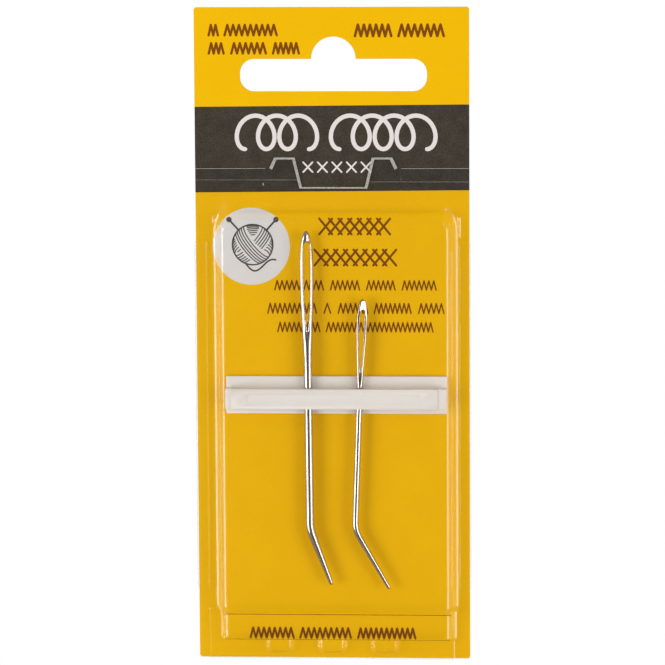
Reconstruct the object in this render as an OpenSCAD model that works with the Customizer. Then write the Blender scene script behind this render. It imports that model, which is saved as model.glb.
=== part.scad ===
// Carded pack of two bent-tip yarn needles, in millimetres.
// A printed card hangs from its slot. A clear formed cover wraps round three of the
// card's edges and slides off downwards. A white holder sits in the cover's bay and
// grips two blunt needles whose tips are bent sideways.

/* [Card] */
// Width of the card
card_w = 50; // [48:1:56]
// Height of the card
card_h = 120; // [118:1:135]
// Thickness of the board
card_t = 0.5; // [0.35:0.05:0.8]
// Corner radius of the card
card_corner = 0.5; // [0.3:0.1:3]

/* [Hang slot] */
// Length of the slot's straight part
slot_w = 34; // [24:1:36]
// Height of the slot's straight part
slot_h = 5.9; // [5.3:0.1:7]
// Corner radius of the slot's ends
slot_corner = 2.6; // [0.5:0.1:2.6]
// Radius of the arch above the slot's middle
slot_arch_r = 4.05; // [3:0.05:5]
// Distance from the card's top edge down to the arch's crown
slot_crown = 5.35; // [3:0.05:8]
// Offset of the slot from the card's centre line
slot_x = 0.35; // [-1:0.05:1]

/* [Cover film] */
// Thickness of the clear film
film = 0.25; // [0.2:0.05:0.4]
// Gap between the film and each face of the card
card_gap = 0.1; // [0.05:0.05:0.3]
// Gap between the card's back corners and the folds round them
corner_gap = 0.04; // [0.02:0.01:0.04]
// Distance from the card's top edge down to the cover's top edge
cover_top = 29.3; // [25:0.1:32]
// How far the flat flange stays inside the card's edges, where nothing is folded
flange_inset = 0.1; // [0:0.05:0.5]

/* [Thumb notch] */
// Offset of the notch and its ears from the card's centre line
notch_x = 0.25; // [-1:0.05:1]
// Width of the two ears together at their foot
ear_foot_w = 23.2; // [22:0.1:28]
// Width of the two ears together at their top
ear_top_w = 21.4; // [19:0.1:21.8]
// How far the ears stand above the cover's top edge
ear_h = 1.9; // [1:0.1:3]
// Width of the notch at the ears' tops
notch_top_w = 14.2; // [12:0.1:16]
// Width of the notch at its bottom
notch_bottom_w = 11.6; // [8:0.1:12]
// Depth of the notch below the cover's top edge
notch_depth = 3.5; // [2:0.1:5]

/* [Bay] */
// Flat strip of flange between the left channel's step and the bay's foot
left_strip = 1.3; // [0.6:0.05:1.6]
// Flat strip of flange between the bay's foot and the right channel's step
right_strip = 0.1; // [0:0.05:0.8]
// Distance from the card's top edge down to the bay's upper foot
bay_top = 36.9; // [35:0.1:38]
// Distance from the card's top edge down to the lower edge of the bay's front
bay_bottom = 111.4; // [111:0.1:112]
// Height of the bay's front above the card's face
bay_h = 3.85; // [3.7:0.05:4.1]
// Slope of the side walls, as the width that one wall takes
side_run = 1.6; // [1:0.1:1.8]
// Slope of the upper wall
top_run = 1.8; // [1:0.1:2]
// Slope of the lower walls
bottom_run = 0.9; // [0.6:0.1:1.2]
// Radius where a wall leaves the flange
foot_r = 0.45; // [0.2:0.05:0.8]
// Radius of the bay's front edges
brow_r = 0.6; // [0.4:0.05:0.9]
// Corner radius of the bay, seen from the front
bay_corner = 2.2; // [1.5:0.1:3]

/* [Lower shelf] */
// Height of the shelf above the card's face
shelf_h = 2.4; // [2:0.05:2.8]
// Distance from the bay's foot in to the shelf's foot, at each side
shelf_inset = 0.6; // [0.4:0.1:2]
// Distance from the card's top edge down to the shelf's lower edge
shelf_bottom = 116.2; // [115.5:0.1:117]
// Number of stacking lugs along the shelf's lower edge
lugs = 3; // [1:1:4]
// Distance between two lugs
lug_pitch = 9.7; // [7:0.1:11]
// Width of a lug at its foot
lug_w = 5.6; // [4.5:0.1:6.5]
// Height of a lug above the card's face
lug_h = 2.9; // [2.8:0.05:3.1]
// Distance from the card's top edge down to the lugs' lower foot
lug_bottom = 119.2; // [118.6:0.1:119.4]
// Slope of a lug's walls
lug_run = 0.8; // [0.6:0.1:1]
// Corner radius of a lug, seen from the front
lug_corner = 1.3; // [0.8:0.1:1.6]
// Offset of the row of lugs from the card's centre line
lug_x = -0.4; // [-1:0.1:1]

/* [Folded edges] */
// How far the folded edges are lifted off the card, to make a channel for it
channel_lift = 0.35; // [0.2:0.05:0.5]
// Width of the step that lifts them
channel_ramp = 0.35; // [0.2:0.05:0.6]
// Distance from the card's side edge in to that step
side_land = 2.1; // [1.8:0.05:2.2]
// Distance from the card's top edge down to the side folds' upper ends
side_fold_top = 42.2; // [40:0.1:50]
// Distance from the card's top edge down to the side folds' lower ends
side_fold_bottom = 107.3; // [100:0.1:109]
// Distance from the card's bottom edge up to the step of the bottom fold
bottom_land = 9.3; // [8.5:0.1:9.8]
// Distance from the card's left edge in to the bottom fold
bottom_fold_left = 2.1; // [1.8:0.1:4]
// Distance from the card's right edge in to the bottom fold
bottom_fold_right = 3.1; // [1.8:0.1:4]
// Width of the rails behind the card
rail_w = 4.7; // [3:0.1:6]
// How much the rails' ends are cut back at a slant
rail_mitre = 3; // [1:0.1:4]

/* [Needle holder] */
// Height of the holder's back plate
plate_h = 6.9; // [6:0.1:9]
// Distance from the card's top edge down to the back plate
plate_top = 67.45; // [62:0.05:72]
// Thickness of the back plate
plate_t = 0.7; // [0.5:0.05:0.85]
// Height of the front bar
bar_h = 3.7; // [3:0.1:3.9]
// Distance from the plate's top down to the bar
bar_drop = 2.05; // [1:0.05:2.1]
// Thickness of the front bar
bar_t = 0.75; // [0.5:0.05:0.85]
// Width of the left end post
left_post_w = 1; // [0.8:0.1:2]
// Width of the right end post
right_post_w = 1.6; // [0.8:0.1:2]
// How far the posts stay behind the bar's front
post_step = 0.25; // [0.1:0.05:0.4]
// Distance from the bar's ends to the slanted recess in its front
recess_inset = 3.2; // [2:0.1:6]
// Distance from the bar's top down to the recess
recess_drop = 1; // [0.5:0.1:1.2]
// Depth of the recess at its upper edge
recess_depth = 0.2; // [0.1:0.05:0.3]
// Height over which the recess runs out
recess_h = 1.8; // [1:0.1:2]
// Gap between the holder and the card
holder_gap = 0.15; // [0.1:0.05:0.2]
// Gap between the holder and the bay's side walls
holder_side_gap = 0.2; // [0.1:0.05:0.5]
// Gap between the large needle and each side of the holder's slit
slit_gap = 0.05; // [0.03:0.01:0.08]

/* [Large needle] */
// Diameter of the shaft
big_d = 1.6; // [1.3:0.05:1.65]
// Length from the crown to where the bend starts
big_straight_l = 53.8; // [50:0.1:56]
// Width of the head
big_head_w = 2.5; // [2.3:0.05:3]
// Thickness of the head
big_head_t = 1.15; // [0.9:0.05:1.25]
// Length of the head down to the plain shaft
big_head_l = 27; // [26:0.5:32]
// Distance from the crown down to the head's widest place
big_wide_at = 8.4; // [6:0.1:12]
// Distance from the crown down to the eye
big_eye_top = 2.2; // [1.5:0.1:3]
// Length of the eye
big_eye_l = 16; // [13:0.5:19]
// Width of the eye
big_eye_w = 1.15; // [0.8:0.05:1.25]
// How far the groove in each face runs on below the eye
big_groove_l = 3.5; // [1:0.1:4]
// Angle of the bent tip
big_bend_angle = 20.5; // [10:0.5:30]
// Radius of the bend
big_bend_r = 7.9; // [5:0.1:12]
// Length of the bent tip beyond the bend
big_tip_l = 9.6; // [7:0.1:11]
// Diameter of the blunt point
big_point_d = 0.8; // [0.6:0.05:1.1]
// Place of the crown across the card, from its centre line
big_x = -4.7; // [-9:0.05:-3]
// Distance from the card's top edge down to the crown
big_top = 40.5; // [40:0.1:42]
// Lean of the shaft
big_lean = 0.4; // [-2:0.1:2]

/* [Small needle] */
// Diameter of the shaft
small_d = 1.2; // [0.9:0.05:1.3]
// Length from the crown to where the bend starts
small_straight_l = 41.3; // [38:0.1:43]
// Width of the head
small_head_w = 1.85; // [1.6:0.05:2.4]
// Thickness of the head
small_head_t = 0.85; // [0.7:0.05:1.05]
// Length of the head down to the plain shaft
small_head_l = 16.2; // [15:0.1:20]
// Distance from the crown down to the head's widest place
small_wide_at = 4.6; // [3.5:0.1:7]
// Distance from the crown down to the eye
small_eye_top = 2.1; // [1.2:0.1:2.3]
// Length of the eye
small_eye_l = 11.3; // [9:0.1:12.6]
// Width of the eye
small_eye_w = 0.8; // [0.5:0.05:0.9]
// How far the groove in each face runs on below the eye
small_groove_l = 2.1; // [1:0.1:2.5]
// Angle of the bent tip
small_bend_angle = 32; // [15:0.5:40]
// Radius of the bend
small_bend_r = 5.5; // [4:0.1:9]
// Length of the bent tip beyond the bend
small_tip_l = 11; // [8:0.1:11.5]
// Diameter of the blunt point
small_point_d = 0.7; // [0.5:0.05:0.9]
// Place of the crown across the card, from its centre line
small_x = 5.55; // [4:0.05:10]
// Distance from the card's top edge down to the crown
small_top = 53; // [52:0.1:55]
// Lean of the shaft
small_lean = -2.1; // [-4:0.1:2]

/* [Hidden] */

// Faces of a full round and of a quarter round in a loft
round_fn = 64;
corner_steps = 4;
fillet_steps = 4;
// Faces round a needle's head, and rings along its nose and the rest of it
head_fn = 24;
nose_rings = 8;
head_rings = 16;
// Steps round each end of an eye, levels from its middle to each face, and how far it flares
eye_steps = 6;
eye_levels = 3;
eye_flare = 0.45;
// Width of an eye's lower end, as a share of its upper end's
eye_taper = 0.8;
// Share of a needle's thickness that the eye's cutter reaches to each side, and how many
// times the groove's length it runs on there, beyond the needle's face
eye_reach = 0.6;
groove_reach = 2;
// Share of the nose's length over which a head reaches its full thickness
nose_share = 1 / 3;
// Smallest radii in a formed pocket: at its corners, and inside its front edges
least_corner = 0.3;
least_brow = 0.1;
// How much a pocket's corners tighten on the way up, as a share of the wall's step in
corner_taper = 0.5;
// How far the shelf reaches up into the bay, and the lugs up into the shelf
shelf_reach = 3;
lug_reach = 2.6;
// Overlap that makes two solids of one piece meet without a seam
bite = 0.05;
// How far a needle's head reaches into its shaft
head_bite = 0.5;
// How far a needle's tip starts inside its bend, and how much slimmer it is there
tip_bite = 0.2;
tip_step = 0.01;

// Heights above the card's face
flange_z = card_gap;
channel_z = card_gap + channel_lift;
plate_z = holder_gap;
slit_z = plate_z + plate_t;
slit_h = big_d + 2 * slit_gap;
needle_z = slit_z + slit_h / 2;
bar_z = slit_z + slit_h;

// Fold round the card's edge, whose inner radius spans the channel and clears the
// card's back corner
fold_r = (channel_z + card_t + card_gap) / 2;
fold_z = channel_z - fold_r;
fold_x = -sqrt(pow(fold_r - corner_gap, 2) - pow(fold_r - card_gap, 2));
fold_reach = fold_x + fold_r + film;
rail_z = fold_z - fold_r - film;

// Feet of the bay's side walls, its width there, and the length of the bottom fold
bay_left = -card_w / 2 + side_land + left_strip;
bay_right = card_w / 2 - side_land - right_strip;
bay_w = bay_right - bay_left;
bottom_fold_w = card_w - bottom_fold_left - bottom_fold_right;

// Slope of the bay's side walls, and how far its inner face lies in from the outer one
side_angle = atan2(bay_h - card_gap - film, side_run);
skin_shift = film * tan(side_angle / 2);

// Holder between the bay's side walls
holder_w = bay_w - 2 * (side_run + skin_shift + holder_side_gap);
bar_w = holder_w - left_post_w - right_post_w;
bar_top = plate_top + bar_drop;

// Card's face as the drawing plane: X to the right, Y up from the card's top edge,
// Z out of the printed face. The part's frame has its origin on the slot's crown,
// in the middle of the board, with the card upright and its face to -Y.
module from_card_face() {
    translate([-slot_x, -card_t / 2, slot_crown]) rotate([90, 0, 0]) children();
}

// Rectangle with true round corners
module round_rect(w, h, r) {
    square([w - 2 * r, h], center = true);
    square([w, h - 2 * r], center = true);
    for (i = [-1, 1], j = [-1, 1])
        translate([i * (w / 2 - r), j * (h / 2 - r)]) circle(r, $fn = round_fn);
}

module hang_slot_outline() {
    straight_top = slot_crown + slot_arch_r;
    translate([slot_x, -straight_top - slot_h / 2]) round_rect(slot_w, slot_h, slot_corner);
    translate([slot_x, -straight_top]) circle(slot_arch_r, $fn = round_fn);
}

module backing_card() {
    color([0.93, 0.74, 0.03])
    from_card_face()
    translate([0, 0, -card_t]) linear_extrude(card_t) difference() {
        translate([0, -card_h / 2]) round_rect(card_w, card_h, card_corner);
        hang_slot_outline();
    }
}

// Points of a rounded rectangle from its left, right, lower and upper sides
function rounded_ring(l, r, b, t, radius, z) = [
    for (c = [[r, t, 0], [l, t, 90], [l, b, 180], [r, b, 270]], i = [0:corner_steps])
        let (a = c[2] + 90 * i / corner_steps,
             sx = c[0] == r ? -1 : 1,
             sy = c[1] == t ? -1 : 1)
        [c[0] + sx * radius + radius * cos(a), c[1] + sy * radius + radius * sin(a), z]
];

// Solid through rings of equal length, listed from its bottom to its top
module loft(rings) {
    n = len(rings[0]);
    last = len(rings) - 1;
    polyhedron(
        points = [for (ring = rings) each ring],
        faces = concat(
            [[for (i = [0:n - 1]) i]],
            [for (k = [0:last - 1], i = [0:n - 1]) each [
                [k * n + i, (k + 1) * n + i, (k + 1) * n + (i + 1) % n],
                [k * n + i, (k + 1) * n + (i + 1) % n, k * n + (i + 1) % n]
            ]],
            [[for (i = [0:n - 1]) last * n + n - 1 - i]]
        ),
        convexity = 6
    );
}

// Wall of a formed pocket: steps in and up from its foot, round at foot and brow
function wall_profile(run, rise, foot, brow) =
    let (lean = atan2(rise, run),
         foot_l = foot * tan(lean / 2),
         brow_l = brow * tan(lean / 2))
    concat(
        [for (i = [0:fillet_steps]) let (a = lean * i / fillet_steps)
            [-foot_l + foot * sin(a), foot * (1 - cos(a))]],
        [for (i = [fillet_steps:-1:0]) let (a = lean * i / fillet_steps)
            [run + brow_l - brow * sin(a), rise - brow * (1 - cos(a))]]
    );

// Outside or inside of a pocket pressed out of the flange. box holds the foot's left,
// right, lower and upper sides and runs the four walls' slopes in the same order.
module pocket(box, runs, h, corner, foot, brow, inside = false) {
    run = runs[0];
    rise = h - card_gap - film;
    shift = inside ? film * tan(atan2(rise, run) / 2) : 0;
    foot_in = inside ? foot + film : foot;
    brow_in = inside ? max(brow - film, least_brow) : brow;
    base_z = inside ? card_gap : card_gap + film;
    steps = wall_profile(run, rise, foot_in, brow_in);
    sink = inside ? card_gap + film : film / 2;
    first = steps[0];
    loft([
        for (k = [-1:len(steps) - 1])
            let (s = k < 0 ? [first[0], -sink] : steps[k],
                 d = [for (q = runs) shift + s[0] * q / run],
                 r = max(corner - shift - s[0] * corner_taper, least_corner))
            rounded_ring(box[0] + d[0], box[1] - d[1], box[2] + d[2], box[3] - d[3],
                         r, base_z + s[1])
    ]);
}

module bay(inside) {
    pocket([bay_left, bay_right, -bay_bottom - bottom_run, -bay_top],
           [side_run, side_run, bottom_run, top_run],
           bay_h, bay_corner, foot_r, brow_r, inside);
}

module shelf(inside) {
    run = side_run * (shelf_h - card_gap - film) / (bay_h - card_gap - film);
    pocket([bay_left + shelf_inset, bay_right - shelf_inset,
            -shelf_bottom - bottom_run / 2, -bay_bottom + shelf_reach],
           [run, run, bottom_run / 2, run],
           shelf_h, bay_corner / 2, foot_r, brow_r, inside);
}

module lug(inside) {
    pocket([-lug_w / 2, lug_w / 2, -lug_bottom, -shelf_bottom + lug_reach],
           [lug_run, lug_run, lug_run, lug_run],
           lug_h, lug_corner, foot_r / 2, brow_r, inside);
}

module all_lugs(inside) {
    for (i = [0:lugs - 1])
        translate([lug_x + (i - (lugs - 1) / 2) * lug_pitch, 0]) lug(inside);
}

// Flat flange with the thumb notch between two ears
module flange_outline() {
    half = card_w / 2 - flange_inset;
    fold_half = card_w / 2 - side_land;
    polygon([
        [-half, -cover_top],
        [notch_x - ear_foot_w / 2, -cover_top],
        [notch_x - ear_top_w / 2, -cover_top + ear_h],
        [notch_x - notch_top_w / 2, -cover_top + ear_h],
        [notch_x - notch_bottom_w / 2, -cover_top - notch_depth],
        [notch_x + notch_bottom_w / 2, -cover_top - notch_depth],
        [notch_x + notch_top_w / 2, -cover_top + ear_h],
        [notch_x + ear_top_w / 2, -cover_top + ear_h],
        [notch_x + ear_foot_w / 2, -cover_top],
        [half, -cover_top],
        [half, -side_fold_top],
        [fold_half, -side_fold_top],
        [fold_half, -side_fold_bottom],
        [half, -side_fold_bottom],
        [half, -card_h],
        [-half, -card_h],
        [-half, -side_fold_bottom],
        [-fold_half, -side_fold_bottom],
        [-fold_half, -side_fold_top],
        [-half, -side_fold_top]
    ]);
}

// One folded edge. X runs outwards from the card's edge and Y along it.
module folded_edge(length, land) {
    rotate([90, 0, 0]) translate([0, 0, -length / 2]) linear_extrude(length) {
        polygon([
            [-land - film, flange_z],
            [-land, flange_z],
            [-land + channel_ramp, channel_z],
            [fold_x, channel_z],
            [fold_x, channel_z + film],
            [-land + channel_ramp, channel_z + film],
            [-land, flange_z + film],
            [-land - film, flange_z + film]
        ]);
        translate([fold_x, fold_z]) difference() {
            circle(fold_r + film, $fn = round_fn);
            circle(fold_r, $fn = round_fn);
            translate([-2 * fold_r - film, -fold_r - film])
                square([2 * fold_r + film, 2 * (fold_r + film)]);
        }
    }
    for (i = [-1, 1])
        translate([-land, i * (length / 2 - film / 2) - film / 2, flange_z])
            cube([land + fold_x, film, channel_lift + film]);
    rail_in = fold_reach - rail_w;
    translate([0, 0, rail_z]) linear_extrude(film) polygon([
        [fold_x, -length / 2],
        [fold_x, length / 2],
        [rail_in, length / 2 - rail_mitre],
        [rail_in, -length / 2 + rail_mitre]
    ]);
}

module side_edges() {
    length = side_fold_bottom - side_fold_top;
    for (i = [0, 1]) mirror([i, 0, 0])
        translate([card_w / 2, -side_fold_top - length / 2, 0]) folded_edge(length, side_land);
}

module bottom_edge() {
    translate([(bottom_fold_left - bottom_fold_right) / 2, -card_h, 0]) rotate([0, 0, -90])
        folded_edge(bottom_fold_w, bottom_land);
}

module slide_cover() {
    color([0.85, 0.9, 0.95, 0.35])
    from_card_face() difference() {
        union() {
            translate([0, 0, flange_z]) linear_extrude(film) difference() {
                flange_outline();
                translate([-card_w / 2 + bottom_fold_left + film, -card_h - film])
                    square([bottom_fold_w - 2 * film, bottom_land + film]);
            }
            side_edges();
            bottom_edge();
            bay(false);
            shelf(false);
            all_lugs(false);
        }
        bay(true);
        shelf(true);
        all_lugs(true);
    }
}

module needle_holder() {
    left = (bay_left + bay_right - holder_w) / 2;
    post_top = bar_z + bar_t - post_step;
    color([0.9, 0.89, 0.87])
    from_card_face() difference() {
        union() {
            translate([left, -plate_top - plate_h, plate_z]) cube([holder_w, plate_h, plate_t]);
            translate([left, -bar_top - bar_h, plate_z + bite])
                cube([left_post_w + bite, bar_h, post_top - plate_z - bite]);
            translate([left + holder_w - right_post_w - bite, -bar_top - bar_h, plate_z + bite])
                cube([right_post_w + bite, bar_h, post_top - plate_z - bite]);
            translate([left + left_post_w, -bar_top - bar_h, bar_z]) cube([bar_w, bar_h, bar_t]);
        }
        translate([left + left_post_w + recess_inset, -bar_top - recess_drop, bar_z + bar_t])
            rotate([90, 0, 90]) linear_extrude(bar_w - 2 * recess_inset)
            polygon([[0, 1], [0, -recess_depth], [-recess_h, 0], [-recess_h, 1]]);
    }
}

// Half of a needle head's width or thickness, at a distance down from its crown: a round
// nose, then a smooth change to the shaft. The head ends a little inside the shaft.
function nose(a, nose_l, half) = half * sqrt(1 - pow(1 - min(a, nose_l) / nose_l, 3));
function blend(a, start, end, from, to) =
    let (s = min(max((a - start) / (end - start), 0), 1))
    from + (to - from) * (1 - cos(180 * s)) / 2;
function head_half(a, nose_l, wide_at, head_l, half, shaft_r) =
    a < wide_at ? nose(a, nose_l, half) : blend(a, wide_at, head_l, half, shaft_r - bite);

// Flattened head, from the crown down to just inside the plain shaft.
// head holds its width, thickness, length and the distance down to its widest place.
module needle_head(shaft_r, head) {
    head_l = head[2];
    wide_at = head[3];
    stations = concat(
        [for (i = [0:nose_rings - 1]) wide_at * pow((i + 0.5) / nose_rings, 2)],
        [for (i = [0:head_rings]) wide_at + (head_l - wide_at) * i / head_rings]
    );
    rotate([90, 0, 0]) loft([
        for (a = concat(stations, [head_l + head_bite])) [
            for (k = [0:head_fn - 1]) let (g = 360 * k / head_fn)
                [head_half(a, wide_at, wide_at, head_l, head[0] / 2, shaft_r) * cos(g),
                 head_half(a, wide_at * nose_share, wide_at, head_l, head[1] / 2, shaft_r) * sin(g), a]
        ]
    ]);
}

// Right side of an eye's outline, from its upper end down: a round end, a straight side
// and a lower end that runs out over the length tail
function eye_side(eye_l, eye_w, tail) =
    let (top_r = eye_w / 2,
         low_r = top_r * eye_taper)
    concat(
        [for (i = [0:eye_steps]) let (t = 90 * i / eye_steps)
            [top_r * sin(t), top_r * (1 - cos(t))]],
        [for (i = [eye_steps:-1:0]) let (t = 90 * i / eye_steps)
            [low_r * sin(t), eye_l - low_r + (low_r + tail) * cos(t)]]
    );

// Eye, flared towards both faces so that its rims are round, where its lower end runs on
// as a groove. eye holds its distance from the crown, its length, its width and the
// groove's length.
module needle_eye(half_t, eye) {
    loft([
        for (k = [-eye_levels:eye_levels])
            let (z = k / eye_levels,
                 flare = 1 + eye_flare * z * z,
                 side = eye_side(eye[1], eye[2], groove_reach * eye[3] * z * z),
                 last = len(side) - 1)
            concat(
                [for (i = [0:last]) [-side[i][0] * flare, -eye[0] - side[i][1], z * half_t]],
                [for (i = [last - 1:-1:1]) [side[i][0] * flare, -eye[0] - side[i][1], z * half_t]]
            )
    ]);
}

// Blunt needle with its crown at the origin and its shaft along -Y, bent to +X.
// bend holds the bend's angle and radius, and tip the bent tip's length and point diameter.
module bent_needle(d, straight_l, head, eye, bend, tip) {
    difference() {
        needle_head(d / 2, head);
        needle_eye(max(head[1], d) * eye_reach, eye);
    }
    translate([0, -head[2], 0]) rotate([90, 0, 0])
        cylinder(straight_l - head[2], d = d, $fn = round_fn);
    translate([bend[1], -straight_l, 0]) rotate([0, 0, 180])
        rotate_extrude(angle = bend[0], $fn = round_fn)
        translate([bend[1], 0]) circle(d = d, $fn = round_fn);
    taper_l = tip[0] - tip[1] / 2;
    translate([bend[1] * (1 - cos(bend[0])), -straight_l - bend[1] * sin(bend[0]), 0])
        rotate([90, 0, bend[0]]) {
            translate([0, 0, -tip_bite])
                cylinder(taper_l + tip_bite, d1 = d - 2 * tip_step, d2 = tip[1], $fn = round_fn);
            translate([0, 0, taper_l - bite]) sphere(d = tip[1], $fn = round_fn);
        }
}

module large_needle() {
    color([0.78, 0.79, 0.8])
    from_card_face()
    translate([big_x, -big_top, needle_z]) rotate([0, 0, big_lean])
        bent_needle(big_d, big_straight_l, [big_head_w, big_head_t, big_head_l, big_wide_at],
                    [big_eye_top, big_eye_l, big_eye_w, big_groove_l],
                    [big_bend_angle, big_bend_r], [big_tip_l, big_point_d]);
}

module small_needle() {
    color([0.78, 0.79, 0.8])
    from_card_face()
    translate([small_x, -small_top, needle_z]) rotate([0, 0, small_lean])
        bent_needle(small_d, small_straight_l, [small_head_w, small_head_t, small_head_l, small_wide_at],
                    [small_eye_top, small_eye_l, small_eye_w, small_groove_l],
                    [small_bend_angle, small_bend_r], [small_tip_l, small_point_d]);
}

backing_card();
slide_cover();
needle_holder();
large_needle();
small_needle();
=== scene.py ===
"""Looks of a carded pack of two bent-tip yarn needles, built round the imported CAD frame.

Places on the pack are given in millimetres as (u, v, d): u to the right of the card's centre
line, v down from its top edge, and d out of its printed face.
"""

import math

import bmesh
import bpy
import numpy as np
from mathutils import Matrix, Vector


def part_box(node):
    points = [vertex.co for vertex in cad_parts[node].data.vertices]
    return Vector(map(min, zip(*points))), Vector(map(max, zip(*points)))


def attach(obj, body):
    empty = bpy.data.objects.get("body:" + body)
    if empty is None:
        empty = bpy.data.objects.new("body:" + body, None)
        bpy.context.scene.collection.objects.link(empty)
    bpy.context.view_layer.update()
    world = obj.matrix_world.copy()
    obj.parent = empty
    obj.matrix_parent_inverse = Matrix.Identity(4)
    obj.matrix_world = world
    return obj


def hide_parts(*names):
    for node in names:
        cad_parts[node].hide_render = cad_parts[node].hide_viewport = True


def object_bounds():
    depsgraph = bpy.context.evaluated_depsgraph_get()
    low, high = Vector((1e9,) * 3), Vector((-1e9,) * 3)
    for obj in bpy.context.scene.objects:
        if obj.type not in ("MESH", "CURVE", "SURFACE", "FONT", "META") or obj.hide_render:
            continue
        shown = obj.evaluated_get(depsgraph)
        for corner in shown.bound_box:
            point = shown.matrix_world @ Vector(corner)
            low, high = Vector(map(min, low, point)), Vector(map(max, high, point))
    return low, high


MM = 0.001
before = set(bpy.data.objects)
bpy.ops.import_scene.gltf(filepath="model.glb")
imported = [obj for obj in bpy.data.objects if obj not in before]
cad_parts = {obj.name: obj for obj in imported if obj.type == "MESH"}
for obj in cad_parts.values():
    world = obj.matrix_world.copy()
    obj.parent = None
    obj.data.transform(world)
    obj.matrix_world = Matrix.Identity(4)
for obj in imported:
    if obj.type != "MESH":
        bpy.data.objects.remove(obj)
cad_low, cad_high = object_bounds()
card_low, card_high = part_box("backing_card")

CARD_W = (card_high.x - card_low.x) / MM
CARD_H = (card_high.z - card_low.z) / MM
CENTRE_X = (card_low.x + card_high.x) / 2


def at(u, v, d):
    """Point of the pack's own frame, in metres."""
    return Vector((CENTRE_X + u * MM, card_low.y - d * MM, card_high.z - v * MM))


def srgb(r, g, b):
    """Linear colour of an sRGB colour given as 0 to 255."""
    def linear(c):
        c /= 255
        return c / 12.92 if c <= 0.04045 else ((c + 0.055) / 1.055) ** 2.4
    return (linear(r), linear(g), linear(b), 1.0)


# Materials

class Surface:
    """A material with one Principled shader, and short ways to wire nodes to it."""

    def __init__(self, name, color, roughness, metallic=0.0):
        self.material = bpy.data.materials.new(name)
        self.material.use_nodes = True
        self.tree = self.material.node_tree
        self.shader = self.tree.nodes["Principled BSDF"]
        self.shader.inputs["Base Color"].default_value = color
        self.shader.inputs["Roughness"].default_value = roughness
        self.shader.inputs["Metallic"].default_value = metallic
        self.coords = self.node("ShaderNodeTexCoord").outputs["Object"]

    def node(self, kind, **settings):
        made = self.tree.nodes.new(kind)
        for key, value in settings.items():
            setattr(made, key, value)
        return made

    def wire(self, source, target):
        self.tree.links.new(source, target)

    def set(self, socket, value):
        self.shader.inputs[socket].default_value = value

    def noise(self, size_mm, detail=2.0, stretch=(1, 1, 1)):
        """Noise from 0 to 1 whose grains are about size_mm wide."""
        mapping = self.node("ShaderNodeMapping")
        self.wire(self.coords, mapping.inputs["Vector"])
        mapping.inputs["Scale"].default_value = [s / (size_mm * MM) for s in stretch]
        noise = self.node("ShaderNodeTexNoise")
        noise.inputs["Scale"].default_value = 1.0
        noise.inputs["Detail"].default_value = detail
        self.wire(mapping.outputs["Vector"], noise.inputs["Vector"])
        return noise.outputs["Fac"]

    def span(self, value, low, high, from_low=0.3, from_high=0.7):
        """Value mapped from the middle of a noise's range to low..high."""
        mapped = self.node("ShaderNodeMapRange")
        self.wire(value, mapped.inputs["Value"])
        mapped.inputs["From Min"].default_value = from_low
        mapped.inputs["From Max"].default_value = from_high
        mapped.inputs["To Min"].default_value = low
        mapped.inputs["To Max"].default_value = high
        return mapped.outputs["Result"]

    def math(self, operation, first, second):
        made = self.node("ShaderNodeMath", operation=operation)
        for socket, value in zip(made.inputs, (first, second)):
            if isinstance(value, (int, float)):
                socket.default_value = value
            else:
                self.wire(value, socket)
        return made.outputs[0]

    def mix(self, factor, first, second, blend="MIX"):
        """Colour mix, where first and second are colours or sockets."""
        made = self.node("ShaderNodeMix", data_type="RGBA", blend_type=blend)
        if isinstance(factor, (int, float)):
            made.inputs[0].default_value = factor
        else:
            self.wire(factor, made.inputs[0])
        for socket, value in zip((made.inputs[6], made.inputs[7]), (first, second)):
            if isinstance(value, tuple):
                socket.default_value = value
            else:
                self.wire(value, socket)
        return made.outputs[2]

    def shade(self, color, factor):
        """Colour made lighter or darker by a factor near 1."""
        grey = self.node("ShaderNodeCombineColor")
        for channel in grey.inputs:
            self.wire(factor, channel)
        return self.mix(1.0, color, grey.outputs[0], "MULTIPLY")

    def bump(self, height, depth_mm):
        made = self.node("ShaderNodeBump")
        made.inputs["Distance"].default_value = depth_mm * MM
        made.inputs["Strength"].default_value = 1.0
        self.wire(height, made.inputs["Height"])
        self.wire(made.outputs["Normal"], self.shader.inputs["Normal"])

    def color_from(self, socket):
        self.wire(socket, self.shader.inputs["Base Color"])

    def roughness_from(self, socket):
        self.wire(socket, self.shader.inputs["Roughness"])


YELLOW = srgb(242, 186, 1)
BOARD = srgb(226, 220, 205)
INK_GLOSS = 0.06
FACE_DEPTH = 0.04


def printed_board():
    """Card: varnished yellow ink on the printed face, bare board at its edges and back."""
    s = Surface("printed_board", YELLOW, 0.5)
    s.set("Specular IOR Level", INK_GLOSS)
    mottle = s.span(s.noise(0.22), 0.975, 1.025)
    cloud = s.span(s.noise(9.0), 0.985, 1.015)
    ink = s.shade(s.shade(YELLOW, mottle), cloud)
    fibre = s.span(s.noise(0.35, 4.0, (1, 1, 0.35)), 0.92, 1.04)
    board = s.shade(BOARD, fibre)
    split = s.node("ShaderNodeSeparateXYZ")
    s.wire(s.coords, split.inputs[0])
    behind_face = s.math("GREATER_THAN", split.outputs["Y"], card_low.y + FACE_DEPTH * MM)
    s.color_from(s.mix(behind_face, ink, board))
    s.roughness_from(s.span(s.noise(0.5), 0.42, 0.55))
    s.bump(s.noise(0.3, 3.0), 0.006)
    return s.material


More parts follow.
